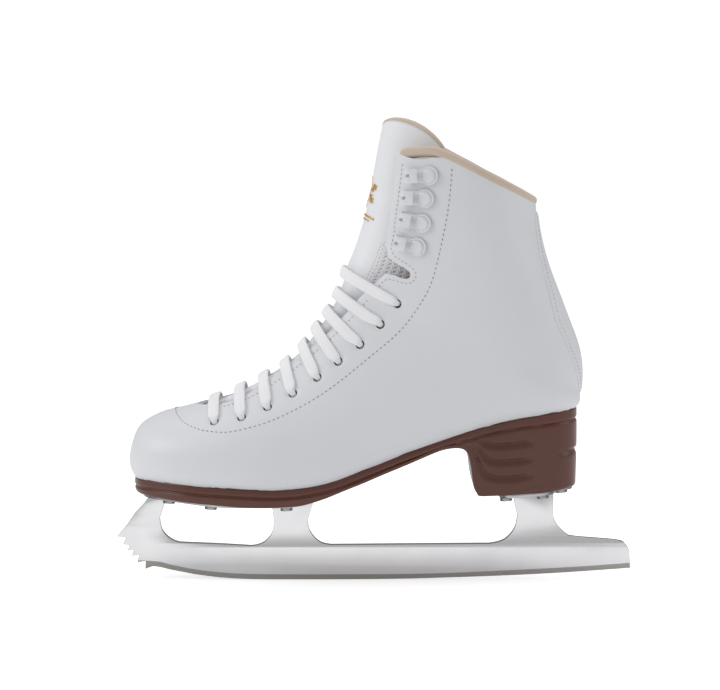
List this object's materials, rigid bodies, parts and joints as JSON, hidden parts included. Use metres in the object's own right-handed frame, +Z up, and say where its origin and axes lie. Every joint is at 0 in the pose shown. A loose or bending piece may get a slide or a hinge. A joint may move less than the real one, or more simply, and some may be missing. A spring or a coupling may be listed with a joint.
{
  "type": "figure skate",
  "caption": "Laced leather figure skate boot with padded tongue, rolled collar, moulded sole and heel, and a screwed-on toe-pick blade.",
  "frame": {"origin": "on the ice under the middle of the skate's bounding box, in the plane of the blade", "axes": "+X from the toe to the heel, +Z up from the ice; the outer (lateral) side of the foot is at -Y"},
  "size_m": [0.2968, 0.0899, 0.2709],
  "materials": {
    "white_leather": "smooth full-grain leather with a low sheen, cool white",
    "facing": "undyed reinforcing leather",
    "beige_trim": "soft beige leather, satin",
    "lining_fabric": "brushed beige microfibre",
    "knit_mesh": "pale lavender-white knitted mesh",
    "foam": "open-cell foam under fabric",
    "stiffener": "thermoplastic stiffener sheet",
    "cork": "cork compound",
    "leatherboard": "pressed leatherboard",
    "sole_resin": "dark brown moulded resin, semi-gloss",
    "blade_steel": "chromed carbon steel, ground along the edge",
    "plate_steel": "chromed pressed steel",
    "screw_steel": "plated steel",
    "eyelet_metal": "plain metal",
    "white_enamel": "white enamel on sheet metal",
    "lace_cord": "flat woven bright white lace",
    "clear_plastic": "clear plastic film"
  },
  "bodies": {
    "boot": {"upper_outer": "white_leather", "backstay": "white_leather", "tongue_leather_lower": "white_leather", "eyestay_facing": "facing", "collar": "beige_trim", "lining": "lining_fabric", "tongue_lining_lower": "lining_fabric", "tongue_mesh_lower": "knit_mesh", "ankle_pad_lateral": "foam", "ankle_pad_medial": "foam", "tongue_foam_lower": "foam", "footbed": "foam", "heel_counter": "stiffener", "toe_puff": "stiffener", "bottom_filler": "cork", "insole_board": "leatherboard", "sole_unit": "sole_resin", "blade_runner": "blade_steel", "front_plate": "plate_steel", "heel_plate": "plate_steel", "front_screws": "screw_steel", "heel_screws": "screw_steel", "eyelets_lateral": "eyelet_metal", "eyelets_medial": "eyelet_metal", "hooks_lateral": "white_enamel", "hooks_medial": "white_enamel", "hook_rivets_lateral": "white_enamel", "hook_rivets_medial": "white_enamel", "lace": "lace_cord", "lace_tips": "clear_plastic"},
    "tongue": {"tongue_leather_upper": "white_leather", "tongue_mesh_upper": "knit_mesh", "tongue_foam_upper": "foam", "tongue_lining_upper": "lining_fabric", "tongue_binding": "beige_trim"}
  },
  "joints": [
    {"name": "tongue_fold", "type": "hinge", "parent": "boot", "child": "tongue", "pos_m": [-0.0163, 0, 0.1798], "axis": [0, -1, 0], "range_deg": [0, 15], "stiffness_Nm_per_rad": 0.15}
  ]
}
